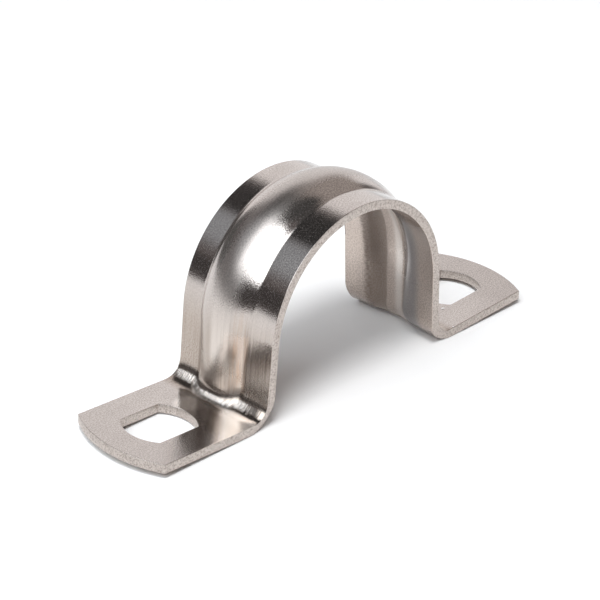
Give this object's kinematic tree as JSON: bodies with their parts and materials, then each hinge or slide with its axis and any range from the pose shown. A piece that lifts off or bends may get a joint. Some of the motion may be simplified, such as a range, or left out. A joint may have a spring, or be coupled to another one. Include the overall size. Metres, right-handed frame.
{
  "type": "conduit strap",
  "caption": "Two-hole conduit strap: a pressed stainless strip with a ribbed round arch, two straight legs and two flat screw feet with rounded ends.",
  "frame": {"origin": "midway between the two feet, on the plane that the two heels rest on", "axes": "+X runs from one screw foot to the other, Y is the conduit's axis, +Z points away from the mounting surface"},
  "size_m": [0.0836, 0.019, 0.032],
  "materials": {
    "stainless": "bright pressed stainless sheet with fine drawing streaks and paler sheared edges"
  },
  "bodies": {
    "root": {"strap": "stainless"}
  },
  "joints": []
}
